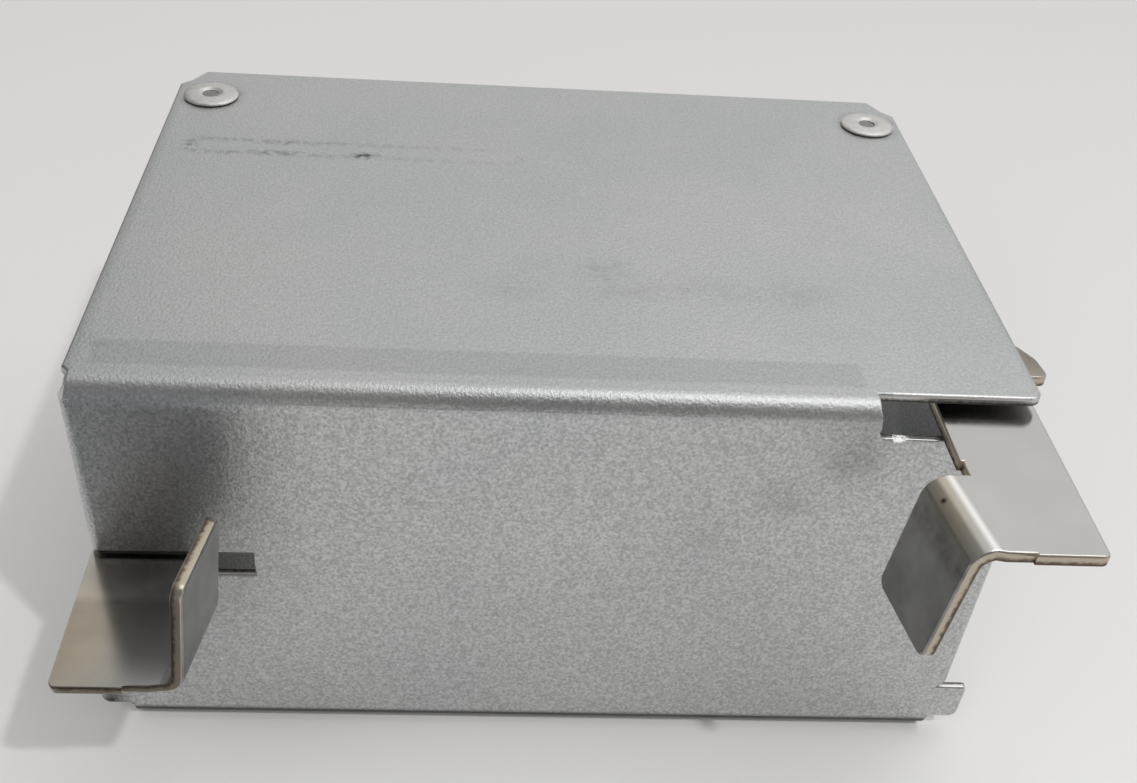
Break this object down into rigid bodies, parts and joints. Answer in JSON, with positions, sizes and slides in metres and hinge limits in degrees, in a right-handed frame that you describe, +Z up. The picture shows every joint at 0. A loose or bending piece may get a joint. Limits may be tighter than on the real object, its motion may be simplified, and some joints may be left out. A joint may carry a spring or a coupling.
{
  "type": "power supply blank filler",
  "caption": "Folded sheet-metal box that fills an empty power supply bay, with stop ears at the front and riveted spring latches that are squeezed together to release it.",
  "frame": {"origin": "middle of the underside of the bottom panel", "axes": "+X to the right seen from the front, +Y into the bay, +Z up"},
  "size_m": [0.0876, 0.0776, 0.0411],
  "materials": {
    "zinc_coated_sheet": "matt zinc coating with a fine grain",
    "spring_stainless": "rolled stainless strip, satin",
    "rivet_aluminium": "plain bright aluminium",
    "mandrel_steel": "dull broken steel"
  },
  "bodies": {
    "enclosure": {"enclosure": "zinc_coated_sheet", "rivet_right": "rivet_aluminium", "rivet_left": "rivet_aluminium", "mandrel_right": "mandrel_steel", "mandrel_left": "mandrel_steel"},
    "latch_right": {"latch_right": "spring_stainless"},
    "latch_left": {"latch_left": "spring_stainless"}
  },
  "joints": [
    {"name": "latch_right_squeeze", "type": "hinge", "parent": "enclosure", "child": "latch_right", "pos_m": [0.0371, 0.0243, 0.0393], "axis": [0, 0, -1], "range_deg": [0, 5], "stiffness_Nm_per_rad": 8},
    {"name": "latch_left_squeeze", "type": "hinge", "parent": "enclosure", "child": "latch_left", "pos_m": [-0.0371, 0.0243, 0.0393], "axis": [0, 0, 1], "range_deg": [0, 5], "stiffness_Nm_per_rad": 8}
  ]
}
